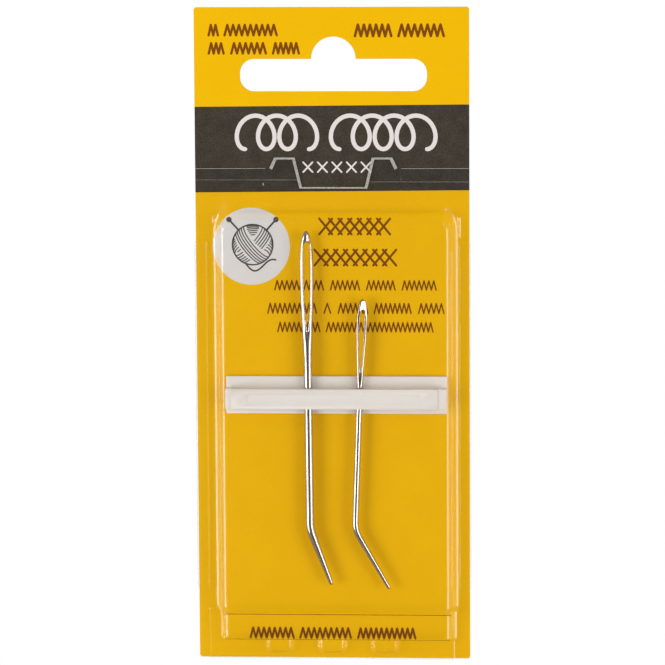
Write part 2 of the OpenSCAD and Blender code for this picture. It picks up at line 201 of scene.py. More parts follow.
def ink(name, color, grain, roughness=0.5):
    """Printed ink with the fine grain of its screen."""
    s = Surface(name, color, roughness)
    s.set("Specular IOR Level", INK_GLOSS)
    fine = s.span(s.noise(0.2, 1.0), 1 - grain, 1 + grain)
    wide = s.span(s.noise(2.5), 1 - grain / 2, 1 + grain / 2)
    s.color_from(s.shade(s.shade(color, fine), wide))
    s.roughness_from(s.span(s.noise(0.5), roughness - 0.06, roughness + 0.06))
    s.bump(s.noise(0.3, 3.0), 0.006)
    return s.material


FILM_GLOSS = 0.042
# Pale colour of the painted highlights on the film's cut edges, glint and crease
PAINTED_HIGHLIGHT_FILM = srgb(235, 232, 224)
# Dark colour of the painted shade at the film's sharp bends
PAINTED_BEND_SHADE = srgb(96, 64, 24)


def clear_film():
    """Thin clear film: a mirror that is only as strong as a clear plastic's surface."""
    s = Surface("clear_film", (1, 1, 1, 1), 0.06, 1.0)
    weight = s.node("ShaderNodeLayerWeight")
    weight.inputs["Blend"].default_value = 0.5
    grazing = s.math("POWER", weight.outputs["Facing"], 5)
    s.wire(s.span(grazing, FILM_GLOSS, 1.0, 0.0, 1.0), s.shader.inputs["Alpha"])
    s.roughness_from(s.span(s.noise(1.5), 0.02, 0.06))
    s.bump(s.noise(3.0, 1.0), 0.01)
    return s.material


def painted_light_film(name, low, high, color=PAINTED_HIGHLIGHT_FILM):
    """Semi-opaque film of one colour, which hides a share of what is behind it: painted highlight along
    cut edges and creases, or painted shade at sharp bends.
    """
    s = Surface(name, color, 0.35)
    s.wire(s.span(s.noise(0.6), low, high), s.shader.inputs["Alpha"])
    return s.material


HOLDER_WHITE = srgb(240, 234, 227)


def white_plastic():
    """Moulded white plastic with a satin surface and faint flow marks."""
    s = Surface("white_plastic", HOLDER_WHITE, 0.42)
    flow = s.span(s.noise(1.6, 3.0, (0.35, 1, 1)), 0.985, 1.012)
    s.color_from(s.shade(HOLDER_WHITE, flow))
    s.roughness_from(s.span(s.noise(0.25), 0.36, 0.5))
    s.set("Subsurface Weight", 0.08)
    s.set("Subsurface Scale", 0.6 * MM)
    s.bump(s.noise(0.18, 2.0), 0.004)
    return s.material


NICKEL = (0.64, 0.58, 0.53, 1)


def plated_steel():
    """Polished nickel plate with faint lengthwise drawing marks."""
    s = Surface("plated_steel", NICKEL, 0.1, 1.0)
    marks = s.noise(0.12, 2.0, (1, 1, 0.02))
    s.roughness_from(s.span(marks, 0.06, 0.15))
    cast = s.span(s.noise(3.0, 2.0, (1, 1, 0.3)), 0.96, 1.02)
    s.color_from(s.shade(NICKEL, cast))
    s.bump(marks, 0.0015)
    return s.material


# Mesh helpers

def add_object(name, mesh, material):
    made = bpy.data.objects.new(name, mesh)
    bpy.context.scene.collection.objects.link(made)
    mesh.materials.clear()
    mesh.materials.append(material)
    return made


def add_mesh(name, points, faces, material, merge_mm=0.0005):
    """Object from points in metres, with shared corners merged."""
    mesh = bpy.data.meshes.new(name)
    mesh.from_pydata([tuple(p) for p in points], [], faces)
    work = bmesh.new()
    work.from_mesh(mesh)
    bmesh.ops.remove_doubles(work, verts=work.verts, dist=merge_mm * MM)
    work.to_mesh(mesh)
    work.free()
    return add_object(name, mesh, material)


def bake_modifiers(made):
    """Replaces an object's mesh by what its modifiers make of it."""
    shown = made.evaluated_get(bpy.context.evaluated_depsgraph_get())
    mesh = bpy.data.meshes.new_from_object(shown)
    made.modifiers.clear()
    made.data = mesh


def thicken(made, thickness, even=False):
    """Gives a sheet its thickness in millimetres, behind the face that it has."""
    slab = made.modifiers.new("slab", "SOLIDIFY")
    slab.thickness = thickness * MM
    slab.offset = -1
    slab.use_even_offset = even
    bake_modifiers(made)


def shade_smooth(made, angle=180.0):
    """Smooth shading, with edges sharper than the angle kept sharp."""
    made.data.shade_smooth()
    if angle < 180:
        made.data.set_sharp_from_angle(angle=math.radians(angle))


def face_outwards(made):
    work = bmesh.new()
    work.from_mesh(made.data)
    bmesh.ops.recalc_face_normals(work, faces=work.faces)
    work.to_mesh(made.data)
    work.free()


def joined(parts):
    """Points and faces of several parts as one list each."""
    points, faces = [], []
    for part_points, part_faces in parts:
        first = len(points)
        points += part_points
        faces += [tuple(first + i for i in face) for face in part_faces]
    return points, faces


def grid_faces(rows, columns, first=0, close=False):
    """Quads between rows of points that were listed row by row."""
    faces = []
    for r in range(rows - 1):
        for c in range(columns if close else columns - 1):
            here = first + r * columns
            after = (c + 1) % columns
            faces.append((here + c, here + columns + c, here + columns + after, here + after))
    return faces


def spaced(*spans):
    """Sorted places from spans of (start, end, step), each hit exactly at both ends."""
    places = []
    for start, end, step in spans:
        count = max(1, round((end - start) / step))
        places.extend(start + (end - start) * i / count for i in range(count + 1))
    return sorted({round(p, 4) for p in places})


# Flat prints on the card

BAND_TOP = 0.008
DISC_TOP = 0.012
INK_TOP = 0.02
DRAWING_TOP = 0.026
INK_SINK = 0.005
INK_LEVELS = 4
INK_STEP = 0.0015


class Print:
    """Flat ink shapes in card millimetres, raised a hair off the card's face.

    Each shape lies a little higher than the one before, so that crossing ones never share
    a plane.
    """

    def __init__(self, top=INK_TOP):
        self.points = []
        self.faces = []
        self.top = top
        self.shapes = 0

    def shape(self, outline, faces):
        """Points of one shape, and its faces counted from its own first point."""
        first = len(self.points)
        height = self.top + (self.shapes % INK_LEVELS) * INK_STEP
        self.points += [(p[0], p[1], height) for p in outline]
        self.faces += [tuple(first + i for i in face) for face in faces]
        self.shapes += 1

    def stroke(self, path, width, cap_steps=4):
        """Line of even width with round ends."""
        path = [Vector(p) for p in path]
        left, right = [], []
        for i, p in enumerate(path):
            ahead = path[min(i + 1, len(path) - 1)] - path[max(i - 1, 0)]
            side = Vector((-ahead.y, ahead.x)).normalized() * width / 2
            left.append(p + side)
            right.append(p - side)
        start = self.cap(path[0], path[0] - path[1], width, cap_steps)
        end = self.cap(path[-1], path[-1] - path[-2], width, cap_steps)
        count = len(path)
        faces = [(i, i + 1, count + i + 1, count + i) for i in range(count - 1)]
        start_cap = range(2 * count, 2 * count + len(start))
        end_cap = range(start_cap.stop, start_cap.stop + len(end))
        faces.append((0, *start_cap, count))
        faces.append((2 * count - 1, *end_cap, count - 1))
        self.shape(left + right + start + end, faces)

    @staticmethod
    def cap(centre, outward, width, steps):
        """Points of a round end, without the two that its line already has."""
        lead = math.atan2(outward.y, outward.x)
        turns = [math.pi * (i / steps - 0.5) for i in range(1, steps)]
        return [centre + Vector((math.cos(lead + a), math.sin(lead + a))) * width / 2 for a in turns]

    def disc(self, centre, radius, steps=96):
        turns = [2 * math.pi * i / steps for i in range(steps)]
        outline = [(centre[0] + radius * math.cos(a), centre[1] + radius * math.sin(a)) for a in turns]
        self.shape(outline, [tuple(range(steps))])

    def add(self, name, material):
        made = add_mesh(name, [at(*p) for p in self.points], self.faces, material, merge_mm=0.0)
        work = bmesh.new()
        work.from_mesh(made.data)
        for face in work.faces:
            face.normal_update()
            if face.normal.y > 0:
                face.normal_flip()
        work.to_mesh(made.data)
        work.free()
        thicken(made, self.top + INK_SINK)
        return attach(made, "card")


# Dark band: its corners from the upper left clockwise. It is printed a little askew.
BAND = [(-25, 18.08), (25, 17.68), (25, 33.31), (-25, 33.73)]


def dark_band(material):
    band = Print(BAND_TOP)
    band.shape(BAND, [(0, 1, 2, 3)])
    return band.add("print_band", material)


# Rows of loops on the band: left, right and number of loops
LOOP_ROWS = [(-16.6, -3.4, 3), (0.6, 18.1, 4)]
LOOP_TOP = 19.3
LOOP_BOTTOM = 26.2
LOOP_LINE = 0.78


def yarn_loops(row, left, right, top, bottom, loops, width):
    """One long yarn drawn in a row of loops, with a tail at each end."""
    pitch = (right - left - 2 * width) / loops
    middle = (top + bottom) / 2
    reach = (bottom - top - width) / 2
    sweep = 0.62 * pitch
    arcs = 3
    steps = 10
    for arc in range(arcs * loops):
        path = []
        for i in range(steps + 1):
            share = (arc + i / steps) / arcs
            turn = 2 * math.pi * share
            path.append((left + width + pitch * share - sweep * math.sin(turn),
                         middle + reach * math.cos(turn)))
        row.stroke(path, width)


def zigzag(row, left, right, top, bottom, pitch, width):
    """Zigzag stitch from left to right, leg by leg."""
    count = max(2, 2 * round((right - left) / pitch))
    step = (right - left) / count
    for i in range(count):
        row.stroke([(left + i * step, (bottom, top)[i % 2]),
                    (left + (i + 1) * step, (top, bottom)[i % 2])], width)


def herringbone(row, left, right, top, bottom, count, width):
    """Row of crossed stitches whose arms overlap at both ends."""
    pitch = (right - left) / (count + 0.5)
    arm = 1.35 * pitch
    for i in range(count):
        start = left + i * pitch
        row.stroke([(start, bottom), (start + arm, top)], width)
        row.stroke([(start, top), (start + arm, bottom)], width)


# Rows of stitches: left, right, top, bottom, pitch and width of each group
STITCH_ROWS = [
    (-22.3, -20.6, 3.2, 5.1, 1.0, 0.42), (-19.4, -9.9, 3.2, 5.1, 1.0, 0.42),
    (-22.3, -19.6, 6.5, 8.4, 1.0, 0.42), (-18.2, -11.9, 6.5, 8.4, 1.0, 0.42),
    (-10.6, -5.9, 6.5, 8.4, 1.0, 0.42),
    (4.3, 10.9, 3.2, 5.3, 1.1, 0.46), (12.2, 20.4, 3.2, 5.3, 1.1, 0.46),
    (-10.6, -1.7, 49.9, 51.6, 0.85, 0.26), (-0.4, 4.9, 49.9, 51.6, 0.85, 0.26),
    (6.2, 11.4, 49.9, 51.6, 0.85, 0.26), (12.7, 18.9, 49.9, 51.6, 0.85, 0.26),
    (-11.9, -3.0, 54.1, 55.9, 0.85, 0.26), (-1.6, -0.4, 54.1, 55.9, 0.85, 0.26),
    (1.0, 6.4, 54.1, 55.9, 0.85, 0.26), (7.6, 14.3, 54.1, 55.9, 0.85, 0.26),
    (15.7, 20.3, 54.1, 55.9, 0.85, 0.26),
    (-10.1, -2.4, 57.6, 59.3, 0.85, 0.26), (-1.2, 18.3, 57.6, 59.3, 0.85, 0.26),
    (-15.6, -7.6, 114.5, 116.4, 1.0, 0.4), (-6.4, 3.0, 114.5, 116.4, 1.0, 0.4),
    (4.3, 14.9, 114.5, 116.4, 1.0, 0.4),
]


# Rows of crossed stitches: left, right, top, bottom and number
HERRINGBONES = [(-2.4, 10.8, 38.5, 41.4, 7), (-3.3, 11.9, 44.2, 47.1, 8)]
HERRINGBONE_LINE = 0.4


def stitch_rows(material):
    rows = Print()
    for left, right, top, bottom, pitch, width in STITCH_ROWS:
        zigzag(rows, left, right, top, bottom, pitch, width)
    for left, right, top, bottom, count in HERRINGBONES:
        herringbone(rows, left, right, top, bottom, count, HERRINGBONE_LINE)
    return rows.add("print_stitches", material)


CROSSES = 5
CROSS_FIRST = -4.4
CROSS_PITCH = 2.65
CROSS_HALF_W = 0.85
CROSS_TOP = 28.2
CROSS_BOTTOM = 30.0
CROSS_LINE = 0.3


def cross_stitches(material):
    row = Print()
    for i in range(CROSSES):
        left = CROSS_FIRST + i * CROSS_PITCH - CROSS_HALF_W
        right = CROSS_FIRST + i * CROSS_PITCH + CROSS_HALF_W
        row.stroke([(left, CROSS_TOP), (right, CROSS_BOTTOM)], CROSS_LINE)
        row.stroke([(left, CROSS_BOTTOM), (right, CROSS_TOP)], CROSS_LINE)
    return row.add("print_crosses", material)


DISC = (-14.85, 43.6)
DISC_R = 7.08
BALL = (-14.6, 43.3)
BALL_R = 3.7
BUNDLE_HALF = 0.36
STRAND_GAP = 0.13
STRAND_LINE = 0.2
RIM_LINE = 0.26
TAIL_LINE = 0.3
TAIL_L = 5.4
TAIL_WAVE = 1.4
PIN_LINE = 0.34
PIN_HEAD_R = 0.5
RING_STEPS = 120
STRAND_CLEAR = 0.04
TAIL_STEPS = 40

# Starts of the tail and of each pin, and the pins' ends, from the ball's middle
TAIL_START = (-1.2, 3.6)
PIN_HEAD = (4.3, -4.6)
PIN_END = (2.5, -2.6)


def yarn_ball(material):
    """Ball of yarn as a line drawing: bundles of strands that pass over each other."""
    drawing = Print(DRAWING_TOP)
    axes = [Vector(a).normalized() for a in ((0.75, 0.6, 0.25), (-0.7, 0.65, 0.2), (0.1, -0.9, 0.5))]
    for rank, axis in enumerate(axes):
        across = axis.orthogonal().normalized()
        other = axis.cross(across)
        for k in range(-6, 7):
            height = k * STRAND_GAP
            ring_r = math.sqrt(1 - height * height)
            if rank < 2 and abs(height) > BUNDLE_HALF:
                continue
            run = []
            for i in range(RING_STEPS + 1):
                turn = 2 * math.pi * i / RING_STEPS
                p = axis * height + ring_r * (across * math.cos(turn) + other * math.sin(turn))
                covered = any(abs(p.dot(a)) < BUNDLE_HALF + STRAND_CLEAR for a in axes[:rank])
                hidden = p.z < 0.02 or covered
                if not hidden:
                    run.append((BALL[0] + BALL_R * p.x, BALL[1] - BALL_R * p.y))
                if (hidden or i == RING_STEPS) and len(run) > 2:
                    drawing.stroke(run, STRAND_LINE, 2)
                if hidden:
                    run = []
    rim = [2 * math.pi * i / 64 for i in range(65)]
    drawing.stroke([(BALL[0] + BALL_R * math.cos(a), BALL[1] + BALL_R * math.sin(a)) for a in rim],
                   RIM_LINE)
    tail = []
    for i in range(TAIL_STEPS + 1):
        share = i / TAIL_STEPS
        wave = TAIL_WAVE * math.sin(1.6 * math.pi * share) * (1 - 0.4 * share)
        tail.append((BALL[0] + TAIL_START[0] + TAIL_L * share, BALL[1] + TAIL_START[1] + wave))
    drawing.stroke(tail, TAIL_LINE)
    for sign in (-1, 1):
        start = Vector((BALL[0] + sign * PIN_HEAD[0], BALL[1] + PIN_HEAD[1]))
        end = Vector((BALL[0] + sign * PIN_END[0], BALL[1] + PIN_END[1]))
        drawing.stroke([start, end], PIN_LINE)
        drawing.disc(start, PIN_HEAD_R, 20)
    return drawing.add("print_yarn_ball", material)


def card_prints(dark, light, brown, grey, drawing):
    dark_band(dark)
    loops = Print()
    for left, right, count in LOOP_ROWS:
        yarn_loops(loops, left, right, LOOP_TOP, LOOP_BOTTOM, count, LOOP_LINE)
    loops.add("print_loops", light)
    cross_stitches(light)
    stitch_rows(brown)
    disc = Print(DISC_TOP)
    disc.disc(DISC, DISC_R)
    disc.add("print_disc", grey)
    yarn_ball(drawing)


# Clear cover

# Film: its thickness, the outer height of its flange, and the raised lands along its folds
FILM = 0.25
FLANGE_TOP = 0.35
LIFT = 0.35
RAMP = 0.35
LEFT_RAMP = 0.25
SIDE_LAND = 2.1
SIDE_FOLD = (42.85, 106.9)
BOTTOM_LAND = 9.3
BOTTOM_FOLD = (-22.9, 21.9)
END_RAMP = 0.25

# Folds round the card: half thickness and half width, how far their middle lies inside the card's
# edge, and the width and mitred ends of the rails behind the card
FOLD_HALF_T = 0.775
FOLD_HALF_W = 0.45
FOLD_IN = 0.234
RAIL_W = 4.7
RAIL_MITRE = 3.0
FOLD_STEPS = 16
RAIL_STEPS = 5
FLANGE_INSET = 0.1

# Raised forms: the radius at the walls' foot and brow, and the heights above the card's face
WALL_R = 1.0
LUG_R = 0.4
BAY_HEIGHT = 3.85
SHELF_HEIGHT = 2.4
LUG_HEIGHT = 1.7
LUG_HALF_W = 2.8
BAY_MIDDLE_V = 75

# Outline of the cover's top edge with its two ears and the thumb notch
TOP_EDGE = [(-25, 29.3), (-11.35, 29.3), (-10.45, 27.4), (-6.85, 27.4), (-5.55, 32.8),
            (6.05, 32.8), (7.35, 27.4), (10.95, 27.4), (11.85, 29.3), (25, 29.3)]

# Pockets: left, right, top and bottom foot, the runs of those walls, height, corner radius and
# the radius at the walls' foot and brow
POCKETS = [
    (-21.22, 22.4, 36.9, 112.0, 0.94, 0.94, 1.8, 0.9, BAY_HEIGHT, 2.2, WALL_R),
    (-21.0, 22.2, 108.4, 116.65, 0.94, 0.94, 0.94, 0.45, SHELF_HEIGHT, 1.1, WALL_R),
]
LUGS = (-10.1, -0.4, 9.3)
for lug in LUGS:
    POCKETS.append((lug - LUG_HALF_W, lug + LUG_HALF_W, 113.8, 119.2, 0.8, 0.8, 0.8, 0.8,
                    LUG_HEIGHT, 1.3, LUG_R))

# Small dents beside the bay's upper corners: middle, top, bottom, half width and rise
DETENTS = [(-21.75, 37.75, 39.6, 0.24, 0.12), (23.1, 38.0, 42.2, 0.36, 0.14)]
DETENT_END = 0.4

# Low crease at both sides of the ears: its place, width and height, and how far from the notch's
# middle it starts
CREASE_V = 31.3
CREASE_W = 0.13
CREASE_HEIGHT = 0.07
NOTCH_MIDDLE = 0.25
CREASE_START = 12.2


def wall_height(step, run, rise, radius):
    """Height of a formed wall at a step in from its foot, round at foot and brow."""
    lean = math.atan2(rise, run)
    reach = radius * math.tan(lean / 2)
    turns = [lean * i / 10 for i in range(11)]
    steps = [-reach + radius * math.sin(a) for a in turns]
    heights = [radius * (1 - math.cos(a)) for a in turns]
    steps += [run + reach - radius * math.sin(a) for a in reversed(turns)]
    heights += [rise - radius * (1 - math.cos(a)) for a in reversed(turns)]
    return np.interp(step, steps, heights)


def pocket_height(u, v, pocket):
    """Height above the flange that one pocket gives the film."""
    left, right, top, bottom, run_l, run_r, run_t, run_b, height, corner, radius = pocket
    across = np.minimum((u - left) / run_l, (right - u) / run_r)
    along = np.minimum((v - top) / run_t, (bottom - v) / run_b)
    round_off = corner / run_l
    inside = round_off - np.hypot(np.maximum(round_off - across, 0), np.maximum(round_off - along, 0))
    depth = np.where((across > round_off) & (along > round_off), np.minimum(across, along), inside)
    return wall_height(depth * run_l, run_l, height - FLANGE_TOP, radius)


def between(value, low, high, ramp):
    """1 between low and high, falling to 0 over the ramp outside them."""
    return np.clip((value - low) / ramp + 1, 0, 1) * np.clip((high - value) / ramp + 1, 0, 1)


def film_height(u, v):
    """Outer height of the film above the card's face."""
    height = np.zeros_like(u)
    for pocket in POCKETS:
        height = np.maximum(height, pocket_height(u, v, pocket))
    side_ramp = np.where(u < 0, LEFT_RAMP, RAMP)
    side = np.clip((np.abs(u) - CARD_W / 2 + SIDE_LAND) / side_ramp, 0, 1)
    side = side * between(v, *SIDE_FOLD, END_RAMP)
    foot = np.clip((v - CARD_H + BOTTOM_LAND) / RAMP, 0, 1)
    foot = foot * between(u, *BOTTOM_FOLD, END_RAMP)
    height = np.maximum(height, LIFT * np.maximum(side, foot))
    crease = np.exp(-((v - CREASE_V) / CREASE_W) ** 2) * (np.abs(u - NOTCH_MIDDLE) > CREASE_START)
    height = height + CREASE_HEIGHT * crease
    for middle, top, bottom, half, rise in DETENTS:
        across = np.clip(1 - np.abs(u - middle) / half, 0, 1)
        along = np.clip((v - top) / DETENT_END, 0, 1) * np.clip((bottom - v) / DETENT_END, 0, 1)
        height = np.maximum(height, rise * np.sin(across * math.pi / 2) * along)
    return FLANGE_TOP + height


# Lines of the film's grid: start, end and step of each span, finest where the film bends
GRID_U = [(-25, -22.5, 0.3), (-22.5, -19.2, 0.12), (-19.2, 20.2, 0.6), (20.2, 23.5, 0.12), (23.5, 25, 0.3)]
GRID_V = [(36.3, 39.6, 0.12), (39.6, 42.6, 0.2), (42.6, 106.4, 2.2), (106.4, 110.2, 0.2),
          (110.2, 120, 0.15)]

# Finer lines along the sides of each lug, counted from its middle
LUG_LINES = [(-3.2, -1.5, 0.15), (1.5, 3.2, 0.15)]

# Rows that follow the top edge, as shares of the way to the first straight row
TOP_ROWS = [0, 0.12, 0.24, 0.34, 0.37, 0.4, 0.4255, 0.45, 0.48, 0.51, 0.6, 0.75, 0.9, 1]
FIRST_STRAIGHT_ROW = 34.5


def front_sheet():
    """Outer face of the film over the card's front, as points and quads."""
    lines_u = set(spaced(*GRID_U))
    for lug in LUGS:
        lines_u |= set(spaced(*[(lug + start, lug + end, step) for start, end, step in LUG_LINES]))
    land = CARD_W / 2 - SIDE_LAND
    lines_u |= {-land, -land - LEFT_RAMP, land, land + RAMP}
    for middle, _, _, half, _ in DETENTS:
        lines_u |= {middle + half * k / 4 for k in range(-4, 5)}
    lines_u = sorted(lines_u | {u for u, v in TOP_EDGE} | set(BOTTOM_FOLD))
    lines_v = sorted(set(spaced(*GRID_V)) | set(SIDE_FOLD))
    top = np.interp(lines_u, *zip(*TOP_EDGE))
    rows = [top + (FIRST_STRAIGHT_ROW - top) * share for share in TOP_ROWS]
    rows += [np.full(len(lines_u), v) for v in lines_v]
    u = np.tile(np.array(lines_u), (len(rows), 1))
    v = np.array(rows)
    in_fold = (v[:, 0] >= SIDE_FOLD[0] - 1e-6) & (v[:, 0] <= SIDE_FOLD[1] + 1e-6)
    edge = np.where(in_fold, CARD_W / 2 - FOLD_IN, CARD_W / 2 - FLANGE_INSET)
    height = film_height(u, v)
    u = np.clip(u, -edge[:, None], edge[:, None])
    over_fold = (u[-1] >= BOTTOM_FOLD[0] - 1e-6) & (u[-1] <= BOTTOM_FOLD[1] + 1e-6)
    last = np.where(over_fold, CARD_H - FOLD_IN, CARD_H)
    v = np.minimum(v, last[None, :])
    points = [at(*p) for p in np.stack([u, v, height], -1).reshape(-1, 3)]
    faces = grid_faces(len(rows), len(lines_u))
    fold_rows = [r[0] for r in v if SIDE_FOLD[0] - 1e-6 <= r[0] <= SIDE_FOLD[1] + 1e-6]
    fold_columns = [c for c in u[-1] if BOTTOM_FOLD[0] - 1e-6 <= c <= BOTTOM_FOLD[1] + 1e-6]
    return points, faces, fold_rows, fold_columns


def fold_section(inner_reach):
    """Outer face of a folded edge: how far out of the card's edge, and how high."""
    centre = FLANGE_TOP + LIFT - FOLD_HALF_T
    turns = [math.pi / 2 - math.pi * i / FOLD_STEPS for i in range(FOLD_STEPS + 1)]
    section = []
    for a in turns:
        out = FOLD_HALF_W * math.sqrt(abs(math.cos(a)))
        up = FOLD_HALF_T * math.copysign(math.sqrt(abs(math.sin(a))), math.sin(a))
        section.append((-FOLD_IN + out, centre + up))
    back = [i / RAIL_STEPS for i in range(1, RAIL_STEPS + 1)]
    return section + [(-FOLD_IN - inner_reach * s, centre - FOLD_HALF_T) for s in back]


def folded_edge(stations, place):
    """Folded edge along its stations. place turns (out, along, height) into a point."""
    reach = RAIL_W - FOLD_HALF_W
    points = []
    for s in stations:
        from_end = min(s - stations[0], stations[-1] - s)
        inner = max(0.02, reach * min(1, from_end / RAIL_MITRE))
        points += [place(out, s, height) for out, height in fold_section(inner)]
    columns = len(points) // len(stations)
    return points, grid_faces(len(stations), columns)


def slide_cover(film):
    """The formed sheet and the folds round its two sides and its foot, in one skin."""
    points, faces, rows, columns = front_sheet()
    parts = [
        (points, faces),
        folded_edge(rows, lambda out, v, d: at(CARD_W / 2 + out, v, d)),
        folded_edge(rows, lambda out, v, d: at(-CARD_W / 2 - out, v, d)),
        folded_edge(columns, lambda out, u, d: at(u, CARD_H + out, d)),
    ]
    cover = add_mesh("cover_film", *joined(parts), film, merge_mm=0.004)
    face_outwards(cover)
    middle = min(cover.data.polygons, key=lambda f: (f.center - at(0, BAY_MIDDLE_V, BAY_HEIGHT)).length)
    if middle.normal.y > 0:
        cover.data.flip_normals()
    thicken(cover, FILM, even=True)
    shade_smooth(cover, 50)
    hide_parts("slide_cover")
    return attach(cover, "cover")


def tube(path, radius, sides=8):
    """Points and faces of a round bar along a path of points in metres."""
    points = []
    for i, p in enumerate(path):
        ahead = (path[min(i + 1, len(path) - 1)] - path[max(i - 1, 0)]).normalized()
        side = ahead.cross(Vector((0, 1, 0))).normalized()
        other = ahead.cross(side)
        points += [p + (side * math.cos(a) + other * math.sin(a)) * radius
                   for a in (2 * math.pi * k / sides for k in range(sides))]
    faces = grid_faces(len(path), sides, close=True)
    faces += [tuple(range(sides)), tuple(range(len(points) - sides, len(points)))]
    return points, faces


def inset_path(path, gaps):
    """Path moved to the film's side of a top edge, each straight piece by its own gap."""
    path = [Vector(p) for p in path]
    sides = []
    for start, end in zip(path, path[1:]):
        run = end - start
        sides.append(Vector((-run.y, run.x)).normalized())
    moved = [path[0] + sides[0] * gaps[0]]
    for i in range(1, len(path) - 1):
        a, b = sides[i - 1], sides[i]
        spread = a.x * b.y - a.y * b.x
        moved.append(path[i] + Vector((gaps[i - 1] * b.y - gaps[i] * a.y,
                                       gaps[i] * a.x - gaps[i - 1] * b.x)) / spread)
    moved.append(path[-1] + sides[-1] * gaps[-1])
    return moved


# Painted highlight along the cut edge round the ears and the notch, a pale band between two thin rims:
# width of its band along each straight piece
NOTCH_BAND = [0.5, 0.3, 0.46, 0.2, 0.46, 0.3, 0.5]
NOTCH_START = -0.06
NOTCH_RIM_R = 0.035
TOP_RIM_R = 0.04
TOP_RIM_V = 29.3
TOP_RIM_RISE = 0.04
TOP_RIM_GAP = 0.8
TRIM_T = 0.01

# Painted glint beside the left ear, where a small dimple in the film catches the light: a short thick bar
# from its upper to its lower end
PAINTED_GLINT = [(-12.56, 32.0), (-12.52, 32.4)]
GLINT_BAR_R = 0.09

# Painted highlight lines along the low crease, from the card's edges across the ears: left, right and v
CREASE_HIGHLIGHT_LINES = [(-24.9, -5.9, 31.4), (6.2, 24.9, 31.75)]
CREASE_HIGHLIGHT_HALF = 0.06
BAND_LIFT = 0.015
CREASE_HIGHLIGHT_LIFT = 0.02


def film_trim(name, parts, material, thickness=0.0):
    """Trim on the film, made from the points and faces of its parts."""
    made = add_mesh(name, *joined(parts), material, merge_mm=0.0)
    if thickness:
        thicken(made, thickness)
    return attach(made, "cover")


def notch_edge_highlights(highlight_rims, highlight_band, crease):
    """Painted highlights on the film round the ears and the notch: a pale band with thin rims along its
    cut edge, rims along the straight top edge, a painted glint beside the left ear, and painted highlight
    lines along the crease.
    """
    outline = TOP_EDGE[1:-1]
    edges = [inset_path(outline, [NOTCH_START] * len(NOTCH_BAND)),
             inset_path(outline, [NOTCH_START + w for w in NOTCH_BAND])]
    # Painted highlight: thin pale rims along both sides of the band
    bars = [tube([at(u, v, FLANGE_TOP) for u, v in edge], NOTCH_RIM_R * MM) for edge in edges]
    for outer, inner in ((-CARD_W / 2 + FLANGE_INSET, outline[0][0] - TOP_RIM_GAP),
                         (outline[-1][0] + TOP_RIM_GAP, CARD_W / 2 - FLANGE_INSET)):
        ends = [at(outer, TOP_RIM_V + TOP_RIM_RISE, FLANGE_TOP), at(inner, TOP_RIM_V, FLANGE_TOP)]
        bars.append(tube(ends, TOP_RIM_R * MM))
    # Painted glint: short pale bar where a small dimple in the film catches the light
    bars.append(tube([at(u, v, FLANGE_TOP) for u, v in PAINTED_GLINT], GLINT_BAR_R * MM))
    rims = film_trim("cover_notch_rim_highlights", bars, highlight_rims)
    face_outwards(rims)
    shade_smooth(rims, 60)
    # Painted highlight: pale band between the rims
    band = [at(u, v, FLANGE_TOP + BAND_LIFT) for edge in edges for u, v in edge]
    film_trim("cover_notch_band_highlight", [(band, grid_faces(2, len(outline)))], highlight_band, TRIM_T)
    # Painted highlight: faint pale strips along the crease, which the formed crease alone hardly shows
    strips = []
    for left, right, v in CREASE_HIGHLIGHT_LINES:
        corners = [at(u, v + side, FLANGE_TOP + CREASE_HIGHLIGHT_LIFT)
                   for side in (-CREASE_HIGHLIGHT_HALF, CREASE_HIGHLIGHT_HALF) for u in (left, right)]
        strips.append((corners, grid_faces(2, 2)))
    film_trim("cover_crease_highlights", strips, crease, TRIM_T)


# Painted shade at the sharp bends under the bay and the shelf, for the light that the bends turn aside:
# left, right, v and half height
BENDS = [(-20.4, 21.6, 111.45, 0.12), (-20.2, 21.4, 116.3, 0.08)]
BEND_LIFT = 0.02


def painted_shade_lines(shade):
    """Thin dark lines of painted shade on the film at its sharp lower bends."""
    strips = []
    for left, right, v, half in BENDS:
        ends = np.array([v - half, v + half])
        heights = film_height(np.zeros(2), ends) + BEND_LIFT
        corners = [at(u, end, d) for end, d in zip(ends, heights) for u in (left, right)]
        strips.append((corners, grid_faces(2, 2)))
    return film_trim("cover_bend_shade_lines", strips, shade, TRIM_T)


# Needles, in millimetres: x across the shaft, a down from the crown, z out of the card

NEEDLE_DEPTH = 1.7

# d is the shaft's diameter and straight the length down to the bend. head_w, head_t and head_l are
# the head's width, thickness and length, and wide_at is where it is widest. eye_top, eye_l and
# eye_w give the eye, groove the length of the groove below it, bend and bend_r the bend's angle and
# radius, and tip_l and point_d the tip. x, top and lean place the crown and tilt the shaft. rim is
# the width of the eye's rounded edge, roll and twist turn the head, and flat is how flat it is.
LARGE = dict(name="large_needle", body="large_needle", d=1.6, straight=53.8, head_w=2.5, head_t=1.15,
             head_l=27, wide_at=8.4, eye_top=2.2, eye_l=16, eye_w=1.15, groove=3, bend=20.5,
             bend_r=7.9, tip_l=9.6, point_d=0.8, x=-4.7, top=40.5, lean=0.4, rim=0.3, roll=-7,
             twist=-18, flat=2.0)
SMALL = dict(name="small_needle", body="small_needle", d=1.2, straight=41.3, head_w=1.85, head_t=0.85,
             head_l=16.2, wide_at=4.6, eye_top=2.1, eye_l=11.3, eye_w=0.8, groove=3, bend=32,
             bend_r=5.5, tip_l=11, point_d=0.7, x=5.55, top=53, lean=-2.1, rim=0.14, roll=-3,
             twist=-22, flat=6.0)
EYE_TAPER = 4
TWIST_END = 5
TWIST_L = 2.8
NOSE_SHARE = 0.2
GROOVE_DEPTH = 0.1
GROOVE_W = 0.85
END_STEPS = 12
SIDE_STEPS = 44
JOIN_STEPS = 20
RIM_STEPS = 16
SHAFT_RINGS = 8
BEND_RINGS = 15
